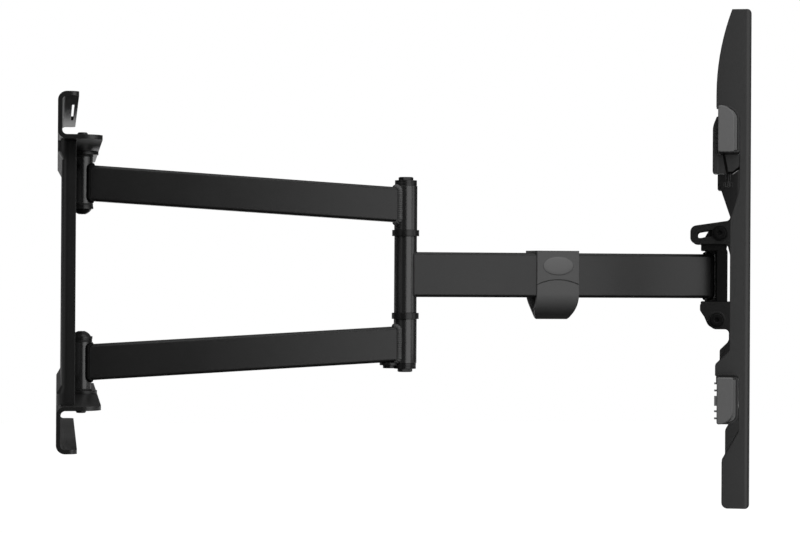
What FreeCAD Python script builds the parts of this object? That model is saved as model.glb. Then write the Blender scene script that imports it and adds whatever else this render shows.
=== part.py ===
import FreeCAD, Part
import math
import os

# Full-motion television wall mount: a wall plate, a pair of converging wall arms, a single
# forearm, and a swivelling, tilting head whose two upright brackets bolt to the television.
# Frame: the origin is on the wall behind the middle of the wall plate, +X points out into
# the room, +Z up. The head is drawn facing +X and then turned to the angle it is left at.
V = FreeCAD.Vector

# Clearances
RUN_RADIAL = 0.05
RUN_AXIAL = 0.1
SEAT = 0.05
SLIDE = 0.3
TINY = 1e-6

# Wall plate: an upper and a lower folded rail with a shallow tray between them
PLATE_WIDTH = 424.0
PLATE_HEIGHT = 320.0
RAIL_SHEET = 4.0
RAIL_BEND = 4.0
LIP_DEPTH = 18.5
EAR_DEPTH = 39.5
EAR_HEIGHT = 118.0
EAR_CORNER = 16.0
LIP_CORNER = 7.0
LAG_SPACING = 340.0
LAG_SLOT_LENGTH = 60.0
LAG_SLOT_WIDTH = 9.0
COVER_SLOT_LENGTH = 206.0
COVER_SLOT_WIDTH = 2.4
COVER_SLOT_INSET = 3.0
TRAY_SHEET = 3.0
TRAY_BEND = 3.0
TRAY_WIDTH = 380.0
TRAY_STANDOFF = 4.0
TRAY_DEPTH = 16.5
TRAY_FOOT = 10.0
TRAY_JOGGLE = 7.0
TRAY_WINDOW_LENGTH = 110.0
TRAY_WINDOW_HEIGHT = 44.0
TRAY_WINDOW_SPACING = 210.0

# Wall hinges: a bolt through each rail's long leg carries a bushed tube
HINGE_X = 24.0
HINGE_BOLT_D = 10.0
HINGE_TUBE_D = 20.0
HINGE_TUBE_LENGTH = 46.0
BUSH_WALL = 2.0
BUSH_FLANGE = 1.5
BUSH_FLANGE_D = 21.0
BUSH_LENGTH = 14.0
HINGE_WASHER_D = 31.0
HINGE_WASHER = 3.0
END_WASHER_D = 21.0
END_WASHER = 1.2
HINGE_HEAD_D = 21.6
HINGE_HEAD = 8.0
HINGE_HEAD_RIM = 2.4
HINGE_SOCKET = 6.0
HINGE_NUT_FLATS = 17.0
HINGE_NUT = 9.0
HINGE_BOLT_STAND = 15.0
BOLT_CHAMFER = 1.0
NUT_SLOPE = 0.6
DOME_SHARE = 0.86
SOCKET_SHARE = 0.8

# Wall arms: rectangular tubes that converge towards the elbow
ARM_HEIGHT = 35.0
ARM_WIDTH = 18.0
ARM_WALL = 2.5
ARM_CORNER = 3.5
ARM_HINGE_DROP = 2.4
ARM_ELBOW_LIFT = 2.55
ARM_REACH = 320.5

# Elbow: a pin through the two arm tubes and the forearm's post
ELBOW_TUBE_D = 23.0
ELBOW_TUBE_LENGTH = 44.1
ELBOW_RING_D = 27.0
ELBOW_RING = 6.0
ELBOW_PIN_D = 12.0
ELBOW_STUD_D = 8.0
ELBOW_WASHER_D = 22.0
ELBOW_WASHER = 2.8
ELBOW_NUT_FLATS = 13.0
ELBOW_NUT = 3.3
POST_D = 22.6
POST_LENGTH = 76.6
STOP_SCREW_OFFSET = 15.5
STOP_WASHER_D = 20.0
STOP_WASHER = 2.6
STOP_HEAD_D = 13.5
STOP_HEAD = 3.0
STOP_SHANK_D = 6.0

# Forearm
FOREARM_REACH = 320.0
FOREARM_HEIGHT = 45.0
FOREARM_WIDTH = 18.0
FOREARM_WALL = 2.5
SWIVEL_TUBE_D = 20.0
SWIVEL_BOLT_D = 10.0
SWIVEL_FLANGE = 3.3
SWIVEL_FLANGE_D = 18.6
SWIVEL_HEAD_D = 18.0
SWIVEL_HEAD = 5.0
SWIVEL_NUT_FLATS = 17.0
SWIVEL_NUT = 7.5

# Cable clip snapped over the forearm
CLIP_MIDDLE = 154.0
CLIP_LENGTH = 43.0
CLIP_WALL = 2.2
CLIP_DROP = 23.0
CLIP_ROLL = 26.0
CLIP_ROLL_RISE = 12.4
CLIP_FAR_ROUND = 1.5
CLIP_FLOOR = 2.5
CLIP_FAR_REACH = 7.0
CLIP_FAR_TAPER = 10.0
CLIP_TAPER = 7.0
CLIP_TAPER_RISE = 16.0
CLIP_SIDE_ROUND = 40.0
CLIP_CORNER = 6.0
CLIP_OVAL_LENGTH = 31.4
CLIP_OVAL_HEIGHT = 18.6
CLIP_OVAL_RISE = 1.2
CLIP_OVAL_LIFT = 9.5
CLIP_SPLIT = 1.0
CLIP_SPLIT_DROP = 4.5
CLIP_SPLIT_ARCH = 5.0

# Head angle at rest: turned about the swivel so that the near side stands nearer the wall
SWIVEL_REST_DEG = 18.0

# Swivel yoke
YOKE_SHEET = 3.0
YOKE_BEND = 1.0
YOKE_WIDTH = 60.0
YOKE_FRONT = 13.5
YOKE_BACK = -12.8
YOKE_SIDE_BACK = 3.5
YOKE_CORNER = 4.0
YOKE_SHOULDER = 6.0
TILT_PIVOT_X = 3.5
TILT_PIVOT_DROP = 44.0
TILT_LOCK_X = 6.0
TILT_LOCK_RISE = 43.5
TILT_BOLT_D = 8.0
LOCK_BOLT_D = 6.0
TILT_TAB_R = 8.0
TILT_FORWARD_DEG = 13.0
TILT_BACK_DEG = 2.0
TILT_WASHER = 1.2
TILT_HEAD_D = 11.6
TILT_HEAD = 4.0
TILT_SOCKET = 5.2
PIVOT_WASHER_D = 14.6
LOCK_WASHER_D = 16.0
TILT_NUT_FLATS = 13.0
TILT_NUT = 6.0
TILT_BOSS_R = 8.5
TILT_BOSS = 1.0

# Tilt frame
FRAME_SHEET = 3.0
FRAME_BEND = 2.0
EAR_BACK = -23.5
EAR_TOP = 50.5
EAR_BOTTOM = 32.5
LOWER_EAR_BACK = -13.5
LOWER_EAR_TOP = -26.0
LOWER_EAR_DEPTH = 8.6
EAR_ROUND = 6.5
EAR_RISE = 6.0
EAR_WEB_BACK = 13.5
EAR_WEB_LEAN = 3.0
EAR_WEB_DROP = 12.0
FRAME_ROUND = 4.0
GUSSET_LENGTH = 17.0
GUSSET_TIP = 17.5
LOWER_GUSSET_TIP = 15.5
LOWER_GUSSET_LENGTH = 11.0
GUSSET_BACK = 2.0
WINDOW_WIDTH = 40.0
WINDOW_HEIGHT = 52.0
WINDOW_CORNER = 8.0

# Horizontal head rails and their end caps
BAR_LENGTH = 472.0
BAR_HEIGHT = 43.0
BAR_DEPTH = 19.4
BAR_BACK = 6.0
BAR_WALL = 2.0
BAR_CORNER = 13.0
LOWER_BAR_CORNER = 9.0
BAR_EDGE = 2.5
UPPER_BAR_MIDDLE = 135.0
LOWER_BAR_MIDDLE = -114.0
CAP_DEPTH = 15.0
CAP_CORNER = 12.9
CAP_FLANGE = 4.0
CAP_ROUND = 1.2
CAP_EDGE = 2.0
CAP_TONGUE = 14.0
CAP_TONGUE_CLEAR = 0.2
CAP_RIB = 1.6
CAP_RIB_OUT = 2.2
CAP_RIB_STEPS = (9.5, 16.0)
CAP_BUMP = 9.0
BAR_SCREW_D = 6.0
BAR_SCREW_HEAD_D = 11.0
BAR_SCREW_HEAD = 3.2
BAR_NUT_FLATS = 10.0
BAR_NUT = 3.0

# Television brackets
BRACKET_SPACING = 400.0
BRACKET_WIDTH = 24.0
BRACKET_SHEET = 2.5
BRACKET_BEND = 2.0
BRACKET_DEPTH = 31.9
BRACKET_OVERHANG = 1.9
BRACKET_TOP = 247.5
BRACKET_BOTTOM = -215.0
BRACKET_CORNER = 4.0
BRACKET_FOLD = 3.0
BRACKET_BLEND = 20.0
BRACKET_WAIST_STEP = 13.2
BRACKET_FOOT_STEP = 6.4
CROWN_HEIGHT = 79.0
CROWN_WIDTH = 14.1
NOTCH_DROP = 55.0
WAIST_DROP = 83.0
LOWER_WAIST_RISE = 23.0
LOWER_SEAT_RISE = 10.0
LOWER_NOTCH_ROOM = 8.5
FOOT_DROP = 27.5
FOOT_CORNER = 5.6
VESA_HEIGHT = 400.0
VESA_HOLE_D = 8.6
SLOT_COUNT = 4
SLOT_LENGTH = 46.0
SLOT_PITCH = 62.0
HOOK_JAW = 4.8
HOOK_HEIGHT = 53.0
HOOK_DEPTH = 18.0
HOOK_ROUND = 2.4
HOOK_LIP = 1.2
HOOK_SHOULDER = 9.0
HOOK_SHOULDER_ROUND = 20.0
HOOK_CORE = 4.5
HOOK_WEDGE_BACK = 4.5
HOOK_WEDGE_LEAN = 3.5
HOOK_WEDGE = 9.0
HOOK_BEVEL = 2.0
THUMB_STEP = 9.2
THUMB_SHANK_D = 4.0
THUMB_HEAD_D = 9.0
THUMB_HEAD = 4.0
THUMB_DROP = 11.8
THUMB_FLUTES = 12
THUMB_FLUTE_R = 0.8

# Places worked out from the sizes above
ELBOW_X = HINGE_X + ARM_REACH
SWIVEL_X = ELBOW_X + FOREARM_REACH
HINGE_TUBE_TOP = EAR_HEIGHT - HINGE_WASHER - RUN_AXIAL - BUSH_FLANGE
HINGE_TUBE_LOW = HINGE_TUBE_TOP - HINGE_TUBE_LENGTH
ELBOW_TUBE_LOW = POST_LENGTH / 2 + RUN_AXIAL + ELBOW_RING
ELBOW_TUBE_TOP = ELBOW_TUBE_LOW + ELBOW_TUBE_LENGTH
ARM_HINGE_HEIGHT = (HINGE_TUBE_TOP + HINGE_TUBE_LOW) / 2 - ARM_HINGE_DROP
ARM_ELBOW_HEIGHT = (ELBOW_TUBE_TOP + ELBOW_TUBE_LOW) / 2 + ARM_ELBOW_LIFT
FRAME_BACK = BAR_BACK + BAR_DEPTH
FRAME_FRONT = FRAME_BACK + FRAME_SHEET
BRACKET_BACK = BAR_BACK - BRACKET_OVERHANG
BRACKET_FRONT = BRACKET_BACK + BRACKET_DEPTH
BRACKET_WAIST = BRACKET_BACK + BRACKET_WAIST_STEP
BRACKET_NOTCH = FRAME_BACK + SLIDE
HOOK_BACK = BAR_BACK - SLIDE - HOOK_JAW
THUMB_X = BAR_BACK + THUMB_STEP
YOKE_INSIDE = FOREARM_HEIGHT / 2 + SWIVEL_FLANGE + RUN_AXIAL
YOKE_OUTSIDE = YOKE_INSIDE + YOKE_SHEET
EAR_INSIDE = YOKE_WIDTH / 2 + SLIDE
EAR_OUTSIDE = EAR_INSIDE + FRAME_SHEET

parts = {}


def rounded_wire(points, place):
    """Closed wire through (a, b) or (a, b, radius) corners, put in space by place(a, b)."""
    flat = [V(p[0], p[1], 0) for p in points]
    radii = [p[2] if len(p) > 2 else 0.0 for p in points]
    corners = []
    for i, (here, radius) in enumerate(zip(flat, radii)):
        if radius == 0.0:
            corners.append((here, here, here))
            continue
        back = (flat[i - 1] - here).normalize()
        ahead = (flat[(i + 1) % len(flat)] - here).normalize()
        half = back.getAngle(ahead) / 2
        inward = (back + ahead).normalize()
        reach = radius / math.tan(half)
        middle = here + inward * (radius / math.sin(half) - radius)
        corners.append((here + back * reach, middle, here + ahead * reach))
    edges = []
    for i, (start, middle, end) in enumerate(corners):
        if start.distanceToPoint(end) > TINY:
            arc = Part.Arc(place(start.x, start.y), place(middle.x, middle.y), place(end.x, end.y))
            edges.append(arc.toShape())
        following = corners[(i + 1) % len(corners)][0]
        if end.distanceToPoint(following) > TINY:
            edges.append(Part.LineSegment(place(end.x, end.y), place(following.x, following.y)).toShape())
    return Part.Wire(edges)


def along_y(points, y0, y1):
    """Solid with an outline in (x, z), from y0 to y1."""
    wire = rounded_wire(points, lambda a, b: V(a, y0, b))
    return Part.Face(wire).extrude(V(0, y1 - y0, 0))


def along_z(points, z0, z1):
    """Solid with an outline in (x, y), from z0 to z1."""
    wire = rounded_wire(points, lambda a, b: V(a, b, z0))
    return Part.Face(wire).extrude(V(0, 0, z1 - z0))


def along_x(points, x0, x1):
    """Solid with an outline in (y, z), from x0 to x1."""
    wire = rounded_wire(points, lambda a, b: V(x0, a, b))
    return Part.Face(wire).extrude(V(x1 - x0, 0, 0))


def rectangle(a0, a1, b0, b1, radius=0.0):
    return [(a0, b0, radius), (a1, b0, radius), (a1, b1, radius), (a0, b1, radius)]


def slot(a, b, length, width):
    """Round-ended slot outline centred on (a, b), long in the first direction."""
    return rectangle(a - length / 2, a + length / 2, b - width / 2, b + width / 2, width / 2)


def rod(diameter, z0, z1, x=0.0, y=0.0):
    return Part.makeCylinder(diameter / 2, z1 - z0, V(x, y, z0))


def ring(outer_d, inner_d, z0, z1, x=0.0, y=0.0):
    return rod(outer_d, z0, z1, x, y).cut(rod(inner_d, z0, z1, x, y))


def cross_rod(diameter, y0, y1, x, z):
    """Cylinder along Y."""
    return Part.makeCylinder(diameter / 2, y1 - y0, V(x, y0, z), V(0, 1, 0))


def cross_ring(outer_d, inner_d, y0, y1, x, z):
    return cross_rod(outer_d, y0, y1, x, z).cut(cross_rod(inner_d, y0, y1, x, z))


def hexagon(flats):
    radius = flats / math.sqrt(3)
    turns = [math.radians(60 * i) for i in range(6)]
    return [(radius * math.cos(t), radius * math.sin(t)) for t in turns]


def hex_prism(flats, z0, z1, x=0.0, y=0.0):
    prism = along_z(hexagon(flats), z0, z1)
    prism.translate(V(x, y, 0))
    return prism


def nut(flats, bore, z0, z1, x=0.0, y=0.0):
    """Hexagon nut whose corners are rounded off by a cone at both faces."""
    body = hex_prism(flats, z0, z1, x, y).cut(rod(bore, z0, z1, x, y))
    corner = flats / math.sqrt(3)
    slope = (corner - flats / 2) * NUT_SLOPE
    height = z1 - z0
    sides = [(0, z0), (flats / 2, z0), (corner, z0 + slope), (corner, z0 + height - slope),
             (flats / 2, z1), (0, z1)]
    return body.common(turned(sides, x, y))


def turned(profile, x=0.0, y=0.0):
    """Solid of revolution about a vertical axis from an outline in (radius, z)."""
    wire = rounded_wire(profile, lambda a, b: V(x + a, y, b))
    return Part.Face(wire).revolve(V(x, y, 0), V(0, 0, 1), 360)


def domed_head(diameter, rim, height, shank, z, sign, x=0.0, y=0.0):
    """Domed flange head whose flat face is at z and whose dome rises by height towards sign."""
    radius = diameter / 2
    rise = height - rim
    crown = radius * DOME_SHARE
    ball = (crown ** 2 + rise ** 2) / (2 * rise)
    swing = math.asin(crown / ball) / 2
    arc = Part.Arc(V(x + crown, y, z + sign * rim),
                   V(x + ball * math.sin(swing), y, z + sign * (height - ball + ball * math.cos(swing))),
                   V(x, y, z + sign * height))
    path = [V(x, y, z), V(x + radius, y, z), V(x + radius, y, z + sign * rim),
            V(x + crown, y, z + sign * rim)]
    edges = [Part.LineSegment(a, b).toShape() for a, b in zip(path, path[1:])]
    edges.append(arc.toShape())
    edges.append(Part.LineSegment(V(x, y, z + sign * height), V(x, y, z)).toShape())
    head = Part.Face(Part.Wire(edges)).revolve(V(x, y, 0), V(0, 0, 1), 360)
    depth = rise * SOCKET_SHARE
    low, high = sorted((z + sign * height, z + sign * (height - depth)))
    return head.cut(hex_prism(shank, low, high, x, y))


def below(shape):
    """The same piece mirrored to the lower half."""
    return shape.mirror(V(0, 0, 0), V(0, 0, 1))


def across(shape):
    """The same piece mirrored to the far side."""
    return shape.mirror(V(0, 0, 0), V(0, 1, 0))


def both(shape):
    return [shape, below(shape)]


def group(solids):
    return Part.makeCompound([s for shape in solids for s in shape.Solids])


def head_place(shape):
    """Turn a head piece to its rest angle and set it on the swivel axis."""
    placed = shape.copy()
    placed.rotate(V(0, 0, 0), V(0, 0, 1), -SWIVEL_REST_DEG)
    placed.translate(V(SWIVEL_X, 0, 0))
    return placed


def rail_plan(depth, corner):
    """Plan of a rail's lip or leg, with its two front corners rounded."""
    half = PLATE_WIDTH / 2
    return [(0, -half), (depth, -half, corner), (depth, half, corner), (0, half)]


def wall_rail():
    """Upper rail: a folded sheet with a short outer lip and a long hinge leg."""
    top = PLATE_HEIGHT / 2
    outer = RAIL_SHEET + RAIL_BEND
    profile = [
        (LIP_DEPTH, top), (0, top, outer), (0, EAR_HEIGHT, outer), (EAR_DEPTH, EAR_HEIGHT),
        (EAR_DEPTH, EAR_HEIGHT + RAIL_SHEET), (RAIL_SHEET, EAR_HEIGHT + RAIL_SHEET, RAIL_BEND),
        (RAIL_SHEET, top - RAIL_SHEET, RAIL_BEND), (LIP_DEPTH, top - RAIL_SHEET),
    ]
    rail = along_y(profile, -PLATE_WIDTH / 2, PLATE_WIDTH / 2)
    lag_height = (top + EAR_HEIGHT) / 2
    leg = along_z(rail_plan(EAR_DEPTH, EAR_CORNER), EAR_HEIGHT, lag_height)
    lip = along_z(rail_plan(LIP_DEPTH, LIP_CORNER), lag_height, top)
    rail = rail.common(leg.fuse(lip)).removeSplitter()
    for side in (-1, 1):
        hole = slot(side * LAG_SPACING / 2, lag_height, LAG_SLOT_LENGTH, LAG_SLOT_WIDTH)
        rail = rail.cut(along_x(hole, 0, RAIL_SHEET))
    return rail.cut(rod(HINGE_BOLT_D + 2 * SEAT, EAR_HEIGHT, EAR_HEIGHT + RAIL_SHEET, HINGE_X))


def cover_slot():
    """Long narrow slot in the upper rail's lip that a trim cover snaps into."""
    top = PLATE_HEIGHT / 2
    x1 = LIP_DEPTH - COVER_SLOT_INSET
    outline = rectangle(x1 - COVER_SLOT_WIDTH, x1, -COVER_SLOT_LENGTH / 2, COVER_SLOT_LENGTH / 2,
                        COVER_SLOT_WIDTH / 2)
    return along_z(outline, top - RAIL_SHEET, top)


def tray_section(back, z):
    """Channel section at height z, its web's rear face at depth back; its flanges start at one depth."""
    half = TRAY_WIDTH / 2
    inner = half - TRAY_SHEET
    face = back + TRAY_SHEET
    fold = TRAY_BEND + TRAY_STANDOFF - back
    bend = TRAY_SHEET + fold
    outline = [
        (back, -half, bend), (back, half, bend), (TRAY_DEPTH, half), (TRAY_DEPTH, inner),
        (face, inner, fold), (face, -inner, fold), (TRAY_DEPTH, -inner), (TRAY_DEPTH, -half),
    ]
    return rounded_wire(outline, lambda a, b: V(a, b, z))


def wall_tray():
    """Pressed channel: its web stands off the wall and steps back to it under each rail's leg."""
    foot_top = EAR_HEIGHT - SEAT
    foot_low = EAR_HEIGHT - TRAY_FOOT
    web_top = foot_low - TRAY_JOGGLE
    web = Part.Face(tray_section(TRAY_STANDOFF, -web_top)).extrude(V(0, 0, 2 * web_top))
    foot = Part.Face(tray_section(0, foot_low)).extrude(V(0, 0, foot_top - foot_low))
    step = Part.makeLoft([tray_section(TRAY_STANDOFF, web_top), tray_section(0, foot_low)], True, True)
    tray = web.fuse(both(foot) + both(step)).removeSplitter()
    for side in (-1, 1):
        window = slot(side * TRAY_WINDOW_SPACING / 2, 0, TRAY_WINDOW_LENGTH, TRAY_WINDOW_HEIGHT)
        tray = tray.cut(along_x(window, TRAY_STANDOFF, TRAY_STANDOFF + TRAY_SHEET))
    return tray


def bush(bolt_d, bore_d, flange_d, flange, length, z, sign, x):
    """Flanged plastic bush whose flange stands on the tube end at z."""
    inner = bolt_d + 2 * RUN_RADIAL
    flange_low, flange_high = sorted((z, z + sign * flange))
    sleeve_low, sleeve_high = sorted((z, z - sign * length))
    sleeve = ring(bore_d - 2 * SEAT, inner, sleeve_low, sleeve_high, x)
    return ring(flange_d, inner, flange_low, flange_high, x).fuse(sleeve).removeSplitter()


def make_wall_hinges():
    washer = EAR_HEIGHT - HINGE_WASHER
    end_washer = HINGE_TUBE_LOW - BUSH_FLANGE - RUN_AXIAL
    bore = HINGE_BOLT_D + 2 * SEAT
    head_face = end_washer - END_WASHER
    tip = EAR_HEIGHT + RAIL_SHEET + HINGE_BOLT_STAND
    radius = HINGE_BOLT_D / 2
    shank = turned([(0, head_face), (radius, head_face), (radius, tip - BOLT_CHAMFER),
                    (radius - BOLT_CHAMFER, tip), (0, tip)], HINGE_X)
    head = domed_head(HINGE_HEAD_D, HINGE_HEAD_RIM, HINGE_HEAD, HINGE_SOCKET, head_face, -1, HINGE_X)
    bolt = shank.fuse(head).removeSplitter()
    nut_low = EAR_HEIGHT + RAIL_SHEET
    hinge_nut = nut(HINGE_NUT_FLATS, bore, nut_low, nut_low + HINGE_NUT, HINGE_X)
    parts["hinge_bolts"] = group(both(bolt))
    parts["hinge_nuts"] = group(both(hinge_nut))
    parts["hinge_washers"] = group(both(ring(HINGE_WASHER_D, bore, washer, EAR_HEIGHT, HINGE_X)))
    parts["hinge_end_washers"] = group(both(ring(END_WASHER_D, bore, head_face, end_washer, HINGE_X)))
    tube_bore = HINGE_BOLT_D + 2 * BUSH_WALL
    tube = ring(HINGE_TUBE_D, tube_bore, HINGE_TUBE_LOW, HINGE_TUBE_TOP, HINGE_X)
    parts["upper_hinge_tube"] = tube
    parts["lower_hinge_tube"] = below(tube)
    bushes = []
    for z, sign in ((HINGE_TUBE_TOP, 1), (HINGE_TUBE_LOW, -1)):
        bushes.append(bush(HINGE_BOLT_D, tube_bore, BUSH_FLANGE_D, BUSH_FLANGE, BUSH_LENGTH, z, sign,
                           HINGE_X))
    parts["hinge_bushes"] = group(bushes + [below(b) for b in bushes])


def box_tube(length, width, height, wall, corner):
    """Rectangular tube along X, centred on it."""
    outer = along_x(rectangle(-width / 2, width / 2, -height / 2, height / 2, corner), 0, length)
    inside_w = width / 2 - wall
    inside_h = height / 2 - wall
    inner = along_x(rectangle(-inside_w, inside_w, -inside_h, inside_h, corner - wall), 0, length)
    return outer.cut(inner)


def make_wall_arms():
    fall = ARM_HINGE_HEIGHT - ARM_ELBOW_HEIGHT
    length = math.hypot(ARM_REACH, fall)
    arm = box_tube(length, ARM_WIDTH, ARM_HEIGHT, ARM_WALL, ARM_CORNER)
    arm.rotate(V(0, 0, 0), V(0, 1, 0), math.degrees(math.atan2(fall, ARM_REACH)))
    arm.translate(V(HINGE_X, 0, ARM_HINGE_HEIGHT))
    reach = PLATE_HEIGHT
    arm = arm.cut(rod(HINGE_TUBE_D + 2 * SEAT, 0, reach, HINGE_X))
    arm = arm.cut(rod(ELBOW_TUBE_D + 2 * SEAT, 0, reach, ELBOW_X))
    parts["upper_arm_tube"] = arm
    lower = below(arm)
    screw_x = ELBOW_X - STOP_SCREW_OFFSET
    slope = fall / ARM_REACH
    underside = -ARM_ELBOW_HEIGHT - STOP_SCREW_OFFSET * slope - ARM_HEIGHT / 2 * math.hypot(1, slope)
    hole = rod(STOP_SHANK_D + 2 * SEAT, underside - ARM_WALL, underside + 2 * ARM_WALL, screw_x)
    parts["lower_arm_tube"] = lower.cut(hole)
    make_stop_screw(screw_x, underside - slope * STOP_WASHER_D / 2)


def make_stop_screw(x, z):
    """Screw and washer under the lower arm, next to the elbow, trimmed to clear the elbow tube."""
    washer_low = z - STOP_WASHER
    washer = rod(STOP_WASHER_D, washer_low, z, x)
    head = rod(STOP_HEAD_D, washer_low - STOP_HEAD, washer_low, x)
    shank = rod(STOP_SHANK_D, washer_low, z + 2 * ARM_WALL, x)
    screw = washer.fuse([head, shank]).removeSplitter()
    clear = ELBOW_TUBE_D + 2 * SLIDE
    parts["arm_stop_screw"] = screw.cut(rod(clear, -PLATE_HEIGHT, 0, ELBOW_X))


def make_elbow():
    ring_low = POST_LENGTH / 2 + RUN_AXIAL
    washer_top = ELBOW_TUBE_TOP + 2 * ELBOW_WASHER
    nut_top = washer_top + ELBOW_NUT
    bore = ELBOW_PIN_D + 2 * SEAT
    stud_bore = ELBOW_STUD_D + 2 * SEAT
    tube = ring(ELBOW_TUBE_D, bore, ELBOW_TUBE_LOW, ELBOW_TUBE_TOP, ELBOW_X)
    parts["upper_elbow_tube"] = tube
    parts["lower_elbow_tube"] = below(tube)
    parts["elbow_rings"] = group(both(ring(ELBOW_RING_D, bore, ring_low, ELBOW_TUBE_LOW, ELBOW_X)))
    pin_r = ELBOW_PIN_D / 2
    stud_r = ELBOW_STUD_D / 2
    half = [(0, 0), (pin_r, 0), (pin_r, ELBOW_TUBE_TOP), (stud_r, ELBOW_TUBE_TOP),
            (stud_r, nut_top - BOLT_CHAMFER), (stud_r - BOLT_CHAMFER, nut_top), (0, nut_top)]
    upper = turned(half, ELBOW_X)
    parts["elbow_pin"] = upper.fuse(below(upper)).removeSplitter()
    washers = []
    for low in (ELBOW_TUBE_TOP, ELBOW_TUBE_TOP + ELBOW_WASHER):
        washers.append(ring(ELBOW_WASHER_D, stud_bore, low, low + ELBOW_WASHER, ELBOW_X))
    parts["elbow_washers"] = group(washers + [below(w) for w in washers])
    elbow_nut = nut(ELBOW_NUT_FLATS, stud_bore, washer_top, nut_top, ELBOW_X)
    parts["elbow_nuts"] = group(both(elbow_nut))
    post_bore = ELBOW_PIN_D + 2 * BUSH_WALL
    parts["elbow_post"] = ring(POST_D, post_bore, -POST_LENGTH / 2, POST_LENGTH / 2, ELBOW_X)
    sleeve = ring(post_bore - 2 * SEAT, ELBOW_PIN_D + 2 * RUN_RADIAL,
                  POST_LENGTH / 2 - BUSH_LENGTH, POST_LENGTH / 2, ELBOW_X)
    parts["elbow_bushes"] = group(both(sleeve))


def make_forearm():
    tube = box_tube(FOREARM_REACH, FOREARM_WIDTH, FOREARM_HEIGHT, FOREARM_WALL, ARM_CORNER)
    tube.translate(V(ELBOW_X, 0, 0))
    half = FOREARM_HEIGHT
    tube = tube.cut(rod(POST_D + 2 * SEAT, -half, half, ELBOW_X))
    parts["forearm_tube"] = tube.cut(rod(SWIVEL_TUBE_D + 2 * SEAT, -half, half, SWIVEL_X))
    bore = SWIVEL_BOLT_D + 2 * BUSH_WALL
    end = FOREARM_HEIGHT / 2
    parts["swivel_tube"] = ring(SWIVEL_TUBE_D, bore, -end, end, SWIVEL_X)
    collar = bush(SWIVEL_BOLT_D, bore, SWIVEL_FLANGE_D, SWIVEL_FLANGE, BUSH_LENGTH, end, 1, SWIVEL_X)
    parts["swivel_bushes"] = group(both(collar))


def clip_section(x0, x1, side, top, low, roll):
    """Clip section along X: square over the forearm, and a strap that rolls under from the near side."""
    outline = [(-side, low + CLIP_ROLL_RISE, roll), (side, low, CLIP_FAR_ROUND), (side, top), (-side, top)]
    return along_x(outline, x0, x1)


def make_cable_clip():
    """Plastic saddle round the forearm whose strap loops under it and snaps shut on the near side."""
    inside = FOREARM_WIDTH / 2 + RUN_AXIAL
    outside = inside + CLIP_WALL
    top = FOREARM_HEIGHT / 2 + RUN_AXIAL
    roof = top + CLIP_WALL
    bottom = -FOREARM_HEIGHT / 2 - CLIP_DROP
    x0 = ELBOW_X + CLIP_MIDDLE - CLIP_LENGTH / 2
    x1 = x0 + CLIP_LENGTH
    far_x0 = x0 - CLIP_FAR_REACH
    shell = clip_section(far_x0, x1, outside, roof, bottom, CLIP_ROLL)
    clip = shell.cut(clip_section(far_x0, x1, inside, top, bottom + CLIP_FLOOR, CLIP_ROLL - CLIP_WALL))
    side = [
        (far_x0, roof), (far_x0, bottom + CLIP_DROP, CLIP_SIDE_ROUND),
        (far_x0 + CLIP_FAR_TAPER, bottom, CLIP_CORNER), (x1 - CLIP_TAPER, bottom, CLIP_CORNER),
        (x1, bottom + CLIP_TAPER_RISE, CLIP_SIDE_ROUND), (x1, roof),
    ]
    clip = clip.common(along_y(side, -outside, outside))
    plan = [(x0, -outside), (x1, -outside), (x1, outside), (far_x0, outside)]
    clip = clip.common(along_z(plan, bottom, roof))
    clip = clip.cut(clip_split(x0, x1, -outside, -inside))
    scale = FreeCAD.Matrix()
    scale.scale(CLIP_OVAL_LENGTH / 2, CLIP_OVAL_RISE, CLIP_OVAL_HEIGHT / 2)
    oval = Part.makeSphere(1.0).transformGeometry(scale)
    oval.translate(V((x0 + x1) / 2, -outside, CLIP_OVAL_LIFT))
    parts["cable_clip"] = clip.fuse(oval).removeSplitter()


def clip_split(x0, x1, y0, y1):
    """Arched gap through the near wall where the strap's free end meets the saddle."""
    middle = (x0 + x1) / 2
    span = x1 - x0
    radius = (span ** 2 / 4 + CLIP_SPLIT_ARCH ** 2) / (2 * CLIP_SPLIT_ARCH)
    centre_z = -CLIP_SPLIT_DROP - radius
    gap = cross_ring(2 * radius + CLIP_SPLIT, 2 * radius - CLIP_SPLIT, y0, y1, middle, centre_z)
    corner = V(x0 - CLIP_WALL, y0, -FOREARM_HEIGHT)
    return gap.common(Part.makeBox(span + 2 * CLIP_WALL, y1 - y0, FOREARM_HEIGHT, corner))


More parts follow.
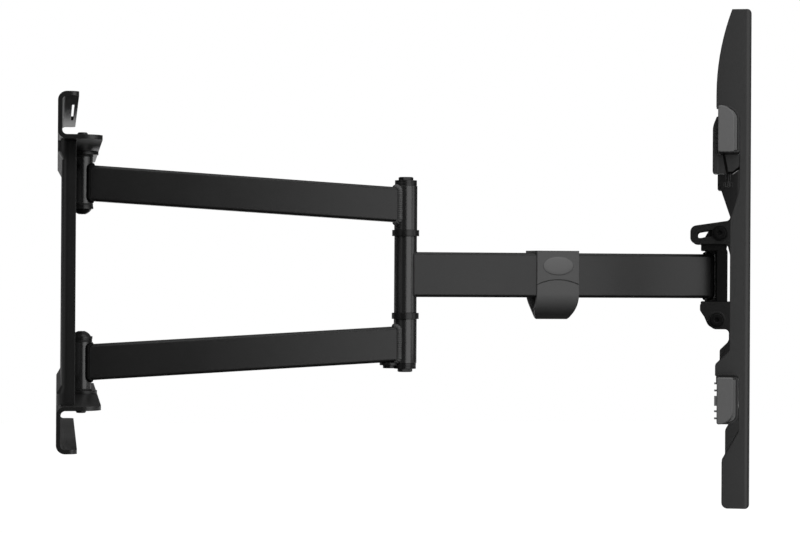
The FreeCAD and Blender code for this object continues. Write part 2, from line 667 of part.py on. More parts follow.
def make_swivel_yoke():
    """Folded yoke: a web joins two plates on the swivel, with tabs that carry the tilt bolts."""
    bend = YOKE_SHEET + YOKE_BEND
    web = YOKE_FRONT - YOKE_SHEET
    half = YOKE_WIDTH / 2
    profile = [
        (YOKE_BACK, YOKE_OUTSIDE), (YOKE_FRONT, YOKE_OUTSIDE, bend), (YOKE_FRONT, -YOKE_OUTSIDE, bend),
        (YOKE_BACK, -YOKE_OUTSIDE), (YOKE_BACK, -YOKE_INSIDE), (web, -YOKE_INSIDE, YOKE_BEND),
        (web, YOKE_INSIDE, YOKE_BEND), (YOKE_BACK, YOKE_INSIDE),
    ]
    yoke = along_y(profile, -half, half)
    lock_top = TILT_LOCK_RISE + TILT_TAB_R
    pivot_low = -TILT_PIVOT_DROP - TILT_TAB_R
    front = YOKE_FRONT - YOKE_SHEET / 2
    lock_front = TILT_LOCK_X + TILT_TAB_R
    side = [
        (YOKE_BACK, YOKE_INSIDE), (YOKE_SIDE_BACK, YOKE_INSIDE), (YOKE_SIDE_BACK, -YOKE_INSIDE),
        (YOKE_BACK, -YOKE_INSIDE), (YOKE_BACK, -YOKE_OUTSIDE - YOKE_CORNER, YOKE_CORNER),
        (TILT_PIVOT_X - TILT_TAB_R, pivot_low, TILT_TAB_R),
        (TILT_PIVOT_X + TILT_TAB_R, pivot_low, TILT_TAB_R), (front, -YOKE_INSIDE), (front, YOKE_INSIDE),
        (lock_front, TILT_LOCK_RISE - YOKE_SHOULDER, YOKE_CORNER),
        (lock_front, lock_top, TILT_TAB_R), (TILT_LOCK_X - TILT_TAB_R, lock_top, TILT_TAB_R),
        (YOKE_BACK, EAR_BOTTOM, YOKE_CORNER),
    ]
    cheeks = [along_y(side, y1 - YOKE_SHEET, y1) for y1 in (half, -half + YOKE_SHEET)]
    yoke = yoke.fuse(cheeks).removeSplitter()
    yoke = yoke.cut(rod(SWIVEL_BOLT_D + 2 * SEAT, -YOKE_OUTSIDE, YOKE_OUTSIDE))
    for x, z, bolt in tilt_bolt_places():
        yoke = yoke.cut(cross_rod(bolt + 2 * SEAT, -half, half, x, z))
    parts["swivel_yoke"] = head_place(yoke)


def tilt_bolt_places():
    return [(TILT_PIVOT_X, -TILT_PIVOT_DROP, TILT_BOLT_D), (TILT_LOCK_X, TILT_LOCK_RISE, LOCK_BOLT_D)]


def make_swivel_bolt():
    head_low = YOKE_OUTSIDE
    nut_top = -YOKE_OUTSIDE
    tip = nut_top - SWIVEL_NUT - BOLT_CHAMFER
    radius = SWIVEL_BOLT_D / 2
    shank = turned([(0, tip), (radius - BOLT_CHAMFER, tip), (radius, tip + BOLT_CHAMFER),
                    (radius, head_low), (0, head_low)])
    head = domed_head(SWIVEL_HEAD_D, SWIVEL_HEAD / 2, SWIVEL_HEAD, HINGE_SOCKET, head_low, 1)
    parts["swivel_bolt"] = head_place(shank.fuse(head).removeSplitter())
    parts["swivel_nut"] = head_place(nut(SWIVEL_NUT_FLATS, SWIVEL_BOLT_D + 2 * SEAT,
                                         nut_top - SWIVEL_NUT, nut_top))


def cross_nut(flats, bore, y0, y1, x, z):
    """Nut whose axis runs along Y."""
    piece = nut(flats, bore, y0, y1)
    piece.rotate(V(0, 0, 0), V(1, 0, 0), -90)
    piece.translate(V(x, 0, z))
    return piece


def make_tilt_bolts():
    """Pivot bolts in the lower ears and lock bolts in the slotted upper ears, on both sides."""
    pivot_seat = EAR_OUTSIDE + TILT_BOSS + RUN_AXIAL
    lock_seat = EAR_OUTSIDE + RUN_AXIAL
    inside = YOKE_WIDTH / 2 - YOKE_SHEET
    nut_in = inside - TILT_NUT
    names = ("tilt_pivot_bolts", "tilt_lock_bolts")
    seats = (pivot_seat, lock_seat)
    washer_sizes = (PIVOT_WASHER_D, LOCK_WASHER_D)
    washers = []
    nuts = []
    for name, seat, washer_d, (x, z, bolt_d) in zip(names, seats, washer_sizes, tilt_bolt_places()):
        head_low = seat + TILT_WASHER
        shank = cross_rod(bolt_d, nut_in - BOLT_CHAMFER, head_low, x, z)
        head = cross_rod(TILT_HEAD_D, head_low, head_low + TILT_HEAD, x, z)
        socket = along_y([(x + a, z + b) for a, b in hexagon(TILT_SOCKET)],
                         head_low + TILT_HEAD / 3, head_low + TILT_HEAD)
        bolt = shank.fuse(head).removeSplitter().cut(socket)
        parts[name] = head_place(group([bolt, across(bolt)]))
        washer = cross_ring(washer_d, bolt_d + 2 * SEAT, seat, head_low, x, z)
        washers += [washer, across(washer)]
        piece = cross_nut(TILT_NUT_FLATS, bolt_d + 2 * SEAT, nut_in, inside, x, z)
        nuts += [piece, across(piece)]
    parts["tilt_washers"] = head_place(group(washers))
    parts["tilt_nuts"] = head_place(group(nuts))


def tilt_slot():
    """Arc slot about the tilt pivot, long enough for the tilt range, cut through both ears."""
    dx = TILT_LOCK_X - TILT_PIVOT_X
    dz = TILT_LOCK_RISE + TILT_PIVOT_DROP
    radius = math.hypot(dx, dz)
    rest = math.atan2(dx, dz)
    first = rest - math.radians(TILT_FORWARD_DEG)
    last = rest + math.radians(TILT_BACK_DEG)
    half = LOCK_BOLT_D / 2 + SLIDE
    edges = []
    y0 = -EAR_OUTSIDE

    def point(r, turn):
        return V(TILT_PIVOT_X + r * math.sin(turn), y0, -TILT_PIVOT_DROP + r * math.cos(turn))

    middle = (first + last) / 2
    beyond = half / radius
    ends = [(radius - half, first), (radius + half, first), (radius + half, last), (radius - half, last)]
    vias = [(radius, first - beyond), (radius + half, middle),
            (radius, last + beyond), (radius - half, middle)]
    for i, via in enumerate(vias):
        edges.append(Part.Arc(point(*ends[i]), point(*via), point(*ends[(i + 1) % 4])).toShape())
    return Part.Face(Part.Wire(edges)).extrude(V(0, 2 * EAR_OUTSIDE, 0))


def make_tilt_frame():
    """Folded frame: an upright plate on the head rails, with slotted and pivoting ears folded back."""
    top = UPPER_BAR_MIDDLE + BAR_HEIGHT / 2 - BAR_CORNER
    bottom = LOWER_BAR_MIDDLE - BAR_HEIGHT / 2 + BAR_CORNER
    shoulder = UPPER_BAR_MIDDLE - BAR_HEIGHT / 2 - SLIDE
    foot = LOWER_BAR_MIDDLE + BAR_HEIGHT / 2 + SLIDE
    bend = FRAME_SHEET + FRAME_BEND
    section = [
        (FRAME_FRONT, -EAR_OUTSIDE, bend), (FRAME_FRONT, EAR_OUTSIDE, bend), (EAR_BACK, EAR_OUTSIDE),
        (EAR_BACK, EAR_INSIDE), (FRAME_BACK, EAR_INSIDE, FRAME_BEND), (FRAME_BACK, -EAR_INSIDE, FRAME_BEND),
        (EAR_BACK, -EAR_INSIDE), (EAR_BACK, -EAR_OUTSIDE),
    ]
    root = FRAME_BACK - FRAME_BEND
    gusset = BAR_BACK - GUSSET_BACK
    pivot_low = -TILT_PIVOT_DROP - TILT_BOSS_R - TILT_BOSS
    side = [
        (FRAME_FRONT, top), (FRAME_BACK, top), (FRAME_BACK, shoulder), (gusset, shoulder),
        (gusset, shoulder - GUSSET_LENGTH, FRAME_ROUND), (GUSSET_TIP, EAR_TOP + EAR_RISE, FRAME_ROUND),
        (EAR_BACK, EAR_TOP, EAR_ROUND), (EAR_BACK, EAR_BOTTOM, EAR_ROUND),
        (EAR_WEB_BACK, EAR_BOTTOM, FRAME_ROUND), (EAR_WEB_BACK + EAR_WEB_LEAN, EAR_BOTTOM - EAR_WEB_DROP),
        (root, EAR_BOTTOM - EAR_WEB_DROP, FRAME_ROUND),
        (root, LOWER_EAR_TOP, FRAME_ROUND), (LOWER_EAR_BACK, LOWER_EAR_TOP, FRAME_ROUND),
        (LOWER_EAR_BACK, LOWER_EAR_TOP - LOWER_EAR_DEPTH, FRAME_ROUND),
        (TILT_PIVOT_X - TILT_BOSS_R / 2, pivot_low, EAR_ROUND), (LOWER_GUSSET_TIP, pivot_low, FRAME_ROUND),
        (LOWER_GUSSET_TIP, pivot_low - LOWER_GUSSET_LENGTH, FRAME_ROUND), (gusset, foot + FRAME_BEND),
        (gusset, foot), (FRAME_BACK, foot), (FRAME_BACK, bottom), (FRAME_FRONT, bottom),
    ]
    folded = along_z(section, bottom, top)
    frame = folded.common(along_y(side, -EAR_OUTSIDE, EAR_OUTSIDE))
    pivot_hole = TILT_BOLT_D + 2 * RUN_RADIAL
    for y0 in (EAR_OUTSIDE, -EAR_OUTSIDE - TILT_BOSS):
        boss = cross_rod(2 * TILT_BOSS_R, y0, y0 + TILT_BOSS, TILT_PIVOT_X, -TILT_PIVOT_DROP)
        frame = frame.fuse(boss)
    reach = EAR_OUTSIDE + TILT_BOSS
    frame = frame.removeSplitter().cut(cross_rod(pivot_hole, -reach, reach, TILT_PIVOT_X, -TILT_PIVOT_DROP))
    frame = frame.cut(tilt_slot())
    reach_in = WINDOW_HEIGHT / 2 + WINDOW_CORNER
    for z in (shoulder - reach_in, 0, foot + reach_in):
        window = rectangle(-WINDOW_WIDTH / 2, WINDOW_WIDTH / 2,
                           z - WINDOW_HEIGHT / 2, z + WINDOW_HEIGHT / 2, WINDOW_CORNER)
        frame = frame.cut(along_x(window, FRAME_BACK, FRAME_FRONT))
    for y, z in bar_screw_places():
        frame = frame.cut(screw_hole(FRAME_BACK, FRAME_FRONT, y, z))
    parts["tilt_frame"] = head_place(frame)


def bar_screw_places():
    """Screws that hold the rails to the frame's plate."""
    spread = EAR_INSIDE - BAR_SCREW_HEAD_D
    heights = (UPPER_BAR_MIDDLE - BAR_HEIGHT / 4, LOWER_BAR_MIDDLE + BAR_HEIGHT / 4)
    return [(side * spread, z) for z in heights for side in (-1, 1)]


def screw_hole(x0, x1, y, z):
    return Part.makeCylinder(BAR_SCREW_D / 2 + SEAT, x1 - x0, V(x0, y, z), V(1, 0, 0))


def bar_outline(middle, sign, corner, inset):
    """Head rail section in (x, z): its front corner away from the middle of the head is rounded most."""
    x0 = BAR_BACK + inset
    x1 = FRAME_BACK - inset
    inner = middle - sign * (BAR_HEIGHT / 2 - inset)
    outer = middle + sign * (BAR_HEIGHT / 2 - inset)
    edge = BAR_EDGE - inset
    return [(x0, inner, edge), (x1, inner, edge), (x1, outer, corner - inset), (x0, outer, edge)]


def end_cap(middle, sign, corner, y_end):
    """Grey plastic plug: a rounded flange over the rail's end and a tongue inside it."""
    x1 = BAR_BACK + CAP_DEPTH
    inner = middle - sign * BAR_HEIGHT / 2
    outer = middle + sign * BAR_HEIGHT / 2
    face = y_end + CAP_FLANGE
    flange = along_y([(BAR_BACK, inner, CAP_EDGE), (x1, inner, CAP_EDGE), (x1, outer, CAP_CORNER),
                      (BAR_BACK, outer, CAP_EDGE)], y_end, face)
    rim = [e for e in flange.Edges if abs(e.CenterOfMass.y - face) < SEAT]
    flange = flange.makeFillet(CAP_ROUND, rim)
    inset = BAR_WALL + CAP_TONGUE_CLEAR
    tongue = along_y(bar_outline(middle, sign, corner, inset), y_end - CAP_TONGUE, y_end)
    return flange.fuse(tongue).removeSplitter()


def ribbed_cap(cap, middle, y_end):
    """The same cap with fine ribs and a thumb rest moulded on its back edge."""
    heights = [(side * step, CAP_RIB) for step in CAP_RIB_STEPS for side in (-1, 1)] + [(0.0, CAP_BUMP)]
    thickness = CAP_FLANGE - CAP_ROUND
    ribs = []
    for lift, height in heights:
        corner = V(BAR_BACK - CAP_RIB_OUT, y_end, middle + lift - height / 2)
        ribs.append(Part.makeBox(CAP_RIB_OUT + CAP_EDGE, thickness, height, corner))
    return cap.fuse(ribs).removeSplitter()


def make_head_rails():
    half = BAR_LENGTH / 2
    places = bar_screw_places()
    rails = (("upper", UPPER_BAR_MIDDLE, 1, BAR_CORNER), ("lower", LOWER_BAR_MIDDLE, -1, LOWER_BAR_CORNER))
    for name, middle, sign, corner in rails:
        outer = along_y(bar_outline(middle, sign, corner, 0), -half, half)
        bar = outer.cut(along_y(bar_outline(middle, sign, corner, BAR_WALL), -half, half))
        for y, z in places:
            bar = bar.cut(screw_hole(BAR_BACK, FRAME_BACK, y, z))
        parts[name + "_head_rail"] = head_place(bar)
        cap = end_cap(middle, sign, corner, half)
        if name == "lower":
            cap = ribbed_cap(cap, middle, half)
        parts[name + "_rail_caps"] = head_place(group([cap, across(cap)]))
    screws = []
    nuts = []
    tip = FRAME_FRONT + BAR_NUT
    for y, z in places:
        head = rod(BAR_SCREW_HEAD_D, -BAR_SCREW_HEAD, 0)
        shank = rod(BAR_SCREW_D, 0, tip - BAR_BACK)
        screw = head.fuse(shank).removeSplitter()
        fastener = nut(BAR_NUT_FLATS, BAR_SCREW_D + 2 * SEAT, FRAME_FRONT - BAR_BACK, tip - BAR_BACK)
        for piece, pile in ((screw, screws), (fastener, nuts)):
            piece.rotate(V(0, 0, 0), V(0, 1, 0), 90)
            piece.translate(V(BAR_BACK, y, z))
            pile.append(piece)
    parts["rail_screws"] = head_place(group(screws))
    parts["rail_nuts"] = head_place(group(nuts))


def bracket_outline():
    """Side view of a television bracket: hooked over the upper rail, notched round the lower one."""
    seat = UPPER_BAR_MIDDLE + BAR_HEIGHT / 2 + SLIDE
    lower_top = LOWER_BAR_MIDDLE + BAR_HEIGHT / 2 + SLIDE
    lower_low = LOWER_BAR_MIDDLE - BAR_HEIGHT / 2 - LOWER_NOTCH_ROOM
    foot = BRACKET_BACK + BRACKET_FOOT_STEP
    return [
        (BRACKET_FRONT, BRACKET_TOP, BRACKET_CORNER), (BRACKET_BACK, BRACKET_TOP), (BRACKET_BACK, seat),
        (BRACKET_NOTCH, seat, BAR_CORNER + SLIDE),
        (BRACKET_NOTCH, UPPER_BAR_MIDDLE - NOTCH_DROP, BRACKET_BLEND),
        (BRACKET_WAIST, UPPER_BAR_MIDDLE - WAIST_DROP, BRACKET_BLEND),
        (BRACKET_WAIST, lower_top + LOWER_WAIST_RISE, BRACKET_FOLD),
        (BRACKET_BACK, lower_top + LOWER_SEAT_RISE, BRACKET_FOLD), (BRACKET_BACK, lower_top),
        (BRACKET_NOTCH, lower_top, BRACKET_FOLD), (BRACKET_NOTCH, lower_low, BRACKET_FOLD),
        (foot, lower_low - FOOT_DROP, BRACKET_CORNER), (foot, BRACKET_BOTTOM, FOOT_CORNER),
        (BRACKET_FRONT, BRACKET_BOTTOM, BRACKET_CORNER),
    ]


def crown():
    """What the bracket's long curved shoulder leaves off at its top, drawn in (x, z)."""
    low = BRACKET_TOP - CROWN_HEIGHT
    radius = (CROWN_WIDTH ** 2 + CROWN_HEIGHT ** 2) / (2 * CROWN_WIDTH)
    turn = math.asin(CROWN_HEIGHT / radius) / 2
    half = BRACKET_WIDTH / 2
    start = V(BRACKET_BACK, -half, low)
    middle = V(BRACKET_BACK + radius * (1 - math.cos(turn)), -half, low + radius * math.sin(turn))
    end = V(BRACKET_BACK + CROWN_WIDTH, -half, BRACKET_TOP)
    corner = V(BRACKET_BACK, -half, BRACKET_TOP)
    edges = [Part.Arc(start, middle, end).toShape(), Part.LineSegment(end, corner).toShape(),
             Part.LineSegment(corner, start).toShape()]
    return Part.Face(Part.Wire(edges)).extrude(V(0, BRACKET_WIDTH, 0))


def tv_bracket():
    """Near bracket, centred on Y = 0: a folded channel with television screw holes in its front."""
    half = BRACKET_WIDTH / 2
    inner = half - BRACKET_SHEET
    web = BRACKET_FRONT - BRACKET_SHEET
    bend = BRACKET_SHEET + BRACKET_BEND
    section = [
        (BRACKET_FRONT, -half, bend), (BRACKET_FRONT, half, bend),
        (BRACKET_BACK, half), (BRACKET_BACK, inner), (web, inner, BRACKET_BEND),
        (web, -inner, BRACKET_BEND), (BRACKET_BACK, -inner), (BRACKET_BACK, -half),
    ]
    bracket = along_z(section, BRACKET_BOTTOM, BRACKET_TOP)
    bracket = bracket.common(along_y(bracket_outline(), -half, half)).cut(crown())
    middle = (BRACKET_TOP + BRACKET_BOTTOM) / 2
    for sign in (-1, 1):
        z = middle + sign * VESA_HEIGHT / 2
        hole = Part.makeCylinder(VESA_HOLE_D / 2, BRACKET_SHEET, V(web, 0, z), V(1, 0, 0))
        bracket = bracket.cut(hole)
    for i in range(SLOT_COUNT):
        z = middle + (i - (SLOT_COUNT - 1) / 2) * SLOT_PITCH
        opening = rectangle(-VESA_HOLE_D / 2, VESA_HOLE_D / 2, z - SLOT_LENGTH / 2, z + SLOT_LENGTH / 2,
                            VESA_HOLE_D / 2)
        bracket = bracket.cut(along_x(opening, web, BRACKET_FRONT))
    return bracket


def hook_block():
    """Cast clamp between a bracket's flanges: jaw behind the upper head rail, core and leaning wedge."""
    inner = BRACKET_WIDTH / 2 - BRACKET_SHEET - SEAT
    rail_low = UPPER_BAR_MIDDLE - BAR_HEIGHT / 2 - SLIDE
    rail_back = BAR_BACK - SLIDE
    low = rail_low - HOOK_DEPTH
    front = BRACKET_FRONT - BRACKET_SHEET - BRACKET_BEND - SEAT
    jaw_top = low + HOOK_HEIGHT
    jaw = along_y([(HOOK_BACK, low, HOOK_ROUND), (HOOK_BACK, jaw_top - HOOK_SHOULDER, HOOK_SHOULDER_ROUND),
                   (rail_back - HOOK_LIP, jaw_top), (rail_back, jaw_top), (rail_back, low)], -inner, inner)
    core = along_y([(rail_back, low), (rail_back, rail_low), (THUMB_X, rail_low), (THUMB_X, low)],
                   -HOOK_CORE, HOOK_CORE)
    wedge_back = rail_back + HOOK_WEDGE_BACK
    wedge = along_y([(wedge_back, rail_low), (front, rail_low), (front, rail_low - HOOK_WEDGE, HOOK_ROUND),
                     (THUMB_X + THUMB_HEAD_D / 2, low, HOOK_ROUND), (wedge_back + HOOK_WEDGE_LEAN, low)],
                    -inner, inner)
    sides = []
    for edge in wedge.Edges:
        middle = edge.CenterOfMass
        on_side = abs(abs(middle.y) - inner) < SEAT
        if on_side and middle.z < rail_low - SEAT:
            sides.append(edge)
    block = jaw.fuse([core, wedge.makeChamfer(HOOK_BEVEL, sides)]).removeSplitter()
    return block.cut(rod(THUMB_SHANK_D + 2 * RUN_RADIAL, low, rail_low, THUMB_X)), low, rail_low


def thumbscrew(low, top):
    """Fluted thumbscrew that comes up through the hook block to the rail."""
    head_top = low - THUMB_DROP + THUMB_HEAD
    head = rod(THUMB_HEAD_D, low - THUMB_DROP, head_top, THUMB_X)
    shank = rod(THUMB_SHANK_D, head_top, top, THUMB_X)
    for i in range(THUMB_FLUTES):
        turn = 2 * math.pi * i / THUMB_FLUTES
        x = THUMB_X + THUMB_HEAD_D / 2 * math.cos(turn)
        y = THUMB_HEAD_D / 2 * math.sin(turn)
        head = head.cut(rod(2 * THUMB_FLUTE_R, low - THUMB_DROP, head_top, x, y))
    return head.fuse(shank).removeSplitter()


def make_tv_brackets():
    bracket = tv_bracket()
    block, low, rail_low = hook_block()
    screw = thumbscrew(low, rail_low)
    for name, side in (("near", -1), ("far", 1)):
        for label, piece in (("tv_bracket", bracket), ("hook_block", block), ("thumbscrew", screw)):
            placed = piece.copy()
            placed.translate(V(0, side * BRACKET_SPACING / 2, 0))
            parts[name + "_" + label] = head_place(placed)


rail = wall_rail()
parts["upper_wall_rail"] = rail.cut(cover_slot())
parts["lower_wall_rail"] = below(rail)
parts["wall_tray"] = wall_tray()
make_wall_hinges()
make_wall_arms()
make_elbow()
make_forearm()
make_cable_clip()
make_swivel_yoke()
make_swivel_bolt()
make_tilt_bolts()
make_tilt_frame()
make_head_rails()
make_tv_brackets()

os.makedirs("parts", exist_ok=True)
for name, shape in parts.items():
    shape.exportStep(os.path.join("parts", name + ".step"))
    print(name, "solids", len(shape.Solids), "volume", round(shape.Volume), "valid", shape.isValid())
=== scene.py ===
# %% [markdown]
# # A swivel television wall mount
# The mount is a black steel arm that folds out from the wall and turns a television. Its solids come in
# as a fixed frame, at their real size and in metres. This lesson gives them their finishes, adds the
# small things that solids leave out, such as weld beads and screw threads, and lights them like a
# catalogue photograph.

# %% Load the frame
import math
import random

import bmesh
import bpy
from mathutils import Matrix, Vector


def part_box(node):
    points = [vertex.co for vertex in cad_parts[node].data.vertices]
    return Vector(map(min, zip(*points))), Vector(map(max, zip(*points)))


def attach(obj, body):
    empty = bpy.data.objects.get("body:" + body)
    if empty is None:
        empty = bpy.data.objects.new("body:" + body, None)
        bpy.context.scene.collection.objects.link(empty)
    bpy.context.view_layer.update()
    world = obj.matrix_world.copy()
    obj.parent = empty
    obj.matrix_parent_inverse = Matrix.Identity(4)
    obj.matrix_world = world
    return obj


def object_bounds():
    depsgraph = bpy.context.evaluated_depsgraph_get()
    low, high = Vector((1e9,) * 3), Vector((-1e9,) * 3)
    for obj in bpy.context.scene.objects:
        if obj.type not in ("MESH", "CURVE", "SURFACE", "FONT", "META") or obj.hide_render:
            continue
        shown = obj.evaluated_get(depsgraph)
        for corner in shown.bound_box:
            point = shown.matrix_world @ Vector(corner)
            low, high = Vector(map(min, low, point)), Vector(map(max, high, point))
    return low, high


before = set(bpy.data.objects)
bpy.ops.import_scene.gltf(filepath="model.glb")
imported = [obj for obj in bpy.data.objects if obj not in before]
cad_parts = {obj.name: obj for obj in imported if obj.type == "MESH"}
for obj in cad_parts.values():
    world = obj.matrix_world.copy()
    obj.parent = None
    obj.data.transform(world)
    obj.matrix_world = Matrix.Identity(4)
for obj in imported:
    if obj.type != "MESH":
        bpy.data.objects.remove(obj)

MM = 0.001


def size_in_mm(box):
    """Sides of a box that is given by two corners, in millimetres."""
    return [round(side / MM, 1) for side in box[1] - box[0]]


solid_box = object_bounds()
scene = bpy.context.scene
print("nodes", len(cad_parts), "size in mm", size_in_mm(solid_box))

# %% [markdown]
# ## The camera
# The photograph looks at the side of the mount from a little over two metres, level with the middle of
# the wall plate. The lens is long, so the two wall arms converge only slightly more than they do on the
# object. The camera stands opposite the wall plate and is turned a few degrees out into the room, which
# keeps the plate's front flange and the far sides of the hinges in sight.

# %% Set up the camera
PHOTO_WIDTH = 800
FOCAL_PIXELS = 2166
SENSOR_WIDTH = 36.0
CAMERA_DISTANCE = 2.14
LEVEL_DEG = 90.0
CAMERA_YAW_DEG = 9.0
CAMERA_PITCH_DEG = 0.21
CAMERA_ROLL_DEG = 0.33

camera_data = bpy.data.cameras.new("camera")
camera_data.sensor_width = SENSOR_WIDTH
camera_data.lens = FOCAL_PIXELS * SENSOR_WIDTH / PHOTO_WIDTH
camera = bpy.data.objects.new("camera", camera_data)
camera.location = (0.0, -CAMERA_DISTANCE, 0.0)
camera.rotation_euler = (math.radians(LEVEL_DEG + CAMERA_PITCH_DEG), 0.0, math.radians(-CAMERA_YAW_DEG))
camera.rotation_euler.rotate_axis("Z", math.radians(CAMERA_ROLL_DEG))
scene.collection.objects.link(camera)
scene.camera = camera
print("lens", round(camera_data.lens, 1), "mm")

# %% [markdown]
# ## Shared surface effects
# Powder coat is baked paint. Seen close, it has a fine orange-peel grain, its gloss wanders a little, and
# over long stretches it is never quite one shade. Moulded plastic has the same habits at other scales. So
# both come from one node group with its own values in each material: a fine noise for the grain and a
# coarse one for the drift in shade and gloss. A second group finds edges by comparing the true normal
# with a rounded one. Paint thins and polishes there, so edges end up slightly smoother, and the lighter
# colour they get is a painted highlight along each edge.

# %% Helpers that feed nodes
def feed(tree, value, socket):
    """Set a plain value on a socket, or link it where the value is another socket."""
    if isinstance(value, bpy.types.NodeSocket):
        tree.links.new(value, socket)
    else:
        socket.default_value = value


def object_place(tree):
    """The place on the object that is being shaded."""
    return tree.nodes.new("ShaderNodeTexCoord").outputs["Object"]


def split_xyz(tree, vector):
    """The X, Y and Z outputs of a vector."""
    node = tree.nodes.new("ShaderNodeSeparateXYZ")
    tree.links.new(vector, node.inputs["Vector"])
    return node.outputs


def noise(tree, vector, detail, scale):
    """Noise from 0 to 1, whose scale is a socket or a plain number."""
    node = tree.nodes.new("ShaderNodeTexNoise")
    node.inputs["Detail"].default_value = detail
    tree.links.new(vector, node.inputs["Vector"])
    feed(tree, scale, node.inputs["Scale"])
    return node.outputs["Fac"]


print("helpers that feed nodes are ready")

# %% Helpers that join nodes
COLOUR, NUMBER, VECTOR = "NodeSocketColor", "NodeSocketFloat", "NodeSocketVector"
# Places of the colour sockets on a Mix node, which also has hidden ones for numbers and vectors.
MIX_FACTOR, MIX_FIRST, MIX_SECOND = 0, 6, 7
MIX_RESULT = 2


def math_node(tree, operation, first, second, clamp=False):
    """Math node whose operands are sockets or plain numbers."""
    node = tree.nodes.new("ShaderNodeMath")
    node.operation = operation
    node.use_clamp = clamp
    feed(tree, first, node.inputs[0])
    feed(tree, second, node.inputs[1])
    return node.outputs[0]


def vector_number(tree, operation, *vectors):
    """Number that a vector operation, such as a length or a dot product, makes of its vectors."""
    node = tree.nodes.new("ShaderNodeVectorMath")
    node.operation = operation
    for vector, socket in zip(vectors, node.inputs):
        tree.links.new(vector, socket)
    return node.outputs["Value"]


def mix_colours(tree, factor, first, second):
    """Colour between two others, by a factor from 0 to 1."""
    node = tree.nodes.new("ShaderNodeMix")
    node.data_type = "RGBA"
    for value, place in ((factor, MIX_FACTOR), (first, MIX_FIRST), (second, MIX_SECOND)):
        feed(tree, value, node.inputs[place])
    return node.outputs[MIX_RESULT]


def new_group(name, inputs, outputs):
    """Empty shader node group with named sockets, and its input and output nodes."""
    tree = bpy.data.node_groups.new(name, "ShaderNodeTree")
    for in_out, sockets in (("INPUT", inputs), ("OUTPUT", outputs)):
        for label, kind in sockets.items():
            tree.interface.new_socket(label, in_out=in_out, socket_type=kind)
    return tree, tree.nodes.new("NodeGroupInput"), tree.nodes.new("NodeGroupOutput")


print("helpers that join nodes are ready")

# %% Coated surface group: drift in shade and gloss, and grain
DRIFT_SCALE = 22.0
DRIFT_DETAIL = 4.0
DRIFT_SHARE = 0.7
GRAIN_DETAIL = 3.0
GRAIN_SHARE = 0.3


def coated_surface_group():
    """Shade and gloss that drift over the surface, with a height for the grain."""
    tree, source, target = new_group(
        "coated_surface",
        {"Dark": COLOUR, "Light": COLOUR, "Gloss Low": NUMBER, "Gloss High": NUMBER, "Grain Scale": NUMBER},
        {"Colour": COLOUR, "Roughness": NUMBER, "Height": NUMBER})
    given = source.outputs
    place = object_place(tree)
    drift = noise(tree, place, DRIFT_DETAIL, DRIFT_SCALE)
    grain = noise(tree, place, GRAIN_DETAIL, given["Grain Scale"])
    broad = math_node(tree, "MULTIPLY", drift, DRIFT_SHARE)
    fine = math_node(tree, "MULTIPLY", grain, GRAIN_SHARE)
    blend = math_node(tree, "ADD", broad, fine)
    shade = mix_colours(tree, blend, given["Dark"], given["Light"])
    spread = math_node(tree, "SUBTRACT", given["Gloss High"], given["Gloss Low"])
    wander = math_node(tree, "MULTIPLY", spread, drift)
    gloss = math_node(tree, "ADD", given["Gloss Low"], wander)
    tree.links.new(shade, target.inputs["Colour"])
    tree.links.new(gloss, target.inputs["Roughness"])
    tree.links.new(grain, target.inputs["Height"])
    return tree


COATED_SURFACE = coated_surface_group()
print("group", COATED_SURFACE.name)

# %% Painted edge highlight group: a mask where the surface turns sharply
BEVEL_SAMPLES = 6
BREAK_UP_SCALE = 140.0
BREAK_UP_DETAIL = 5.0


def painted_edge_highlight_group():
    """Mask of the edges for a painted highlight, broken up into patches, with the normal of the rounded
    edges.
    """
    tree, source, target = new_group(
        "painted_edge_highlight", {"Width": NUMBER, "Strength": NUMBER}, {"Mask": NUMBER, "Normal": VECTOR})
    bevel = tree.nodes.new("ShaderNodeBevel")
    bevel.samples = BEVEL_SAMPLES
    tree.links.new(source.outputs["Width"], bevel.inputs["Radius"])
    rounded = bevel.outputs["Normal"]
    true_normal = tree.nodes.new("ShaderNodeNewGeometry").outputs["Normal"]
    likeness = vector_number(tree, "DOT_PRODUCT", rounded, true_normal)
    turn = math_node(tree, "SUBTRACT", 1.0, likeness, clamp=True)
    patches = noise(tree, object_place(tree), BREAK_UP_DETAIL, BREAK_UP_SCALE)
    broken = math_node(tree, "MULTIPLY", turn, patches)
    # The mask that lightens the colour along edges, a painted highlight.
    highlit = math_node(tree, "MULTIPLY", broken, source.outputs["Strength"], clamp=True)
    tree.links.new(highlit, target.inputs["Mask"])
    tree.links.new(rounded, target.inputs["Normal"])
    return tree


PAINTED_EDGE_HIGHLIGHT = painted_edge_highlight_group()
print("group", PAINTED_EDGE_HIGHLIGHT.name)

# %% [markdown]
# ## The finishes
# The steel is black powder coat with a satin gloss. The turned tubes at the joints have a smoother and
# shinier enamel, so each shows a bright streak. The folded pieces of the head are painted darker than the
# steel, as painted shade: satin on the tilt frame and flat on the yoke and the tilt bolts, with a painted
# highlight along their edges. Welds are rough and bumpy. Those at the hinges and the swivel take the same
# flat painted shade, and those at the elbow are painted much lighter, as a painted highlight. The other
# bolts, washers and pins are blackened steel, and the bushes are black nylon. The rail caps and the cable
# clip are dark grey moulded plastic, clearly lighter than the steel in the photograph, and the clip has a
# raised oval pad that is lighter again. All are dielectric: black zinc and paint both hide the metal, so
# nothing here uses the metallic socket.

# %% Build one finish
POLISH_SHARE = 0.5
BUMP_STRENGTH = 1.0


def grey(level):
    """Neutral colour of one level, as a socket value."""
    return (level, level, level, 1.0)


def place_group(tree, group, values):
    """Node that uses a shared group, with this material's own values."""
    node = tree.nodes.new("ShaderNodeGroup")
    node.node_tree = group
    for label, value in values.items():
        node.inputs[label].default_value = value
    return node.outputs


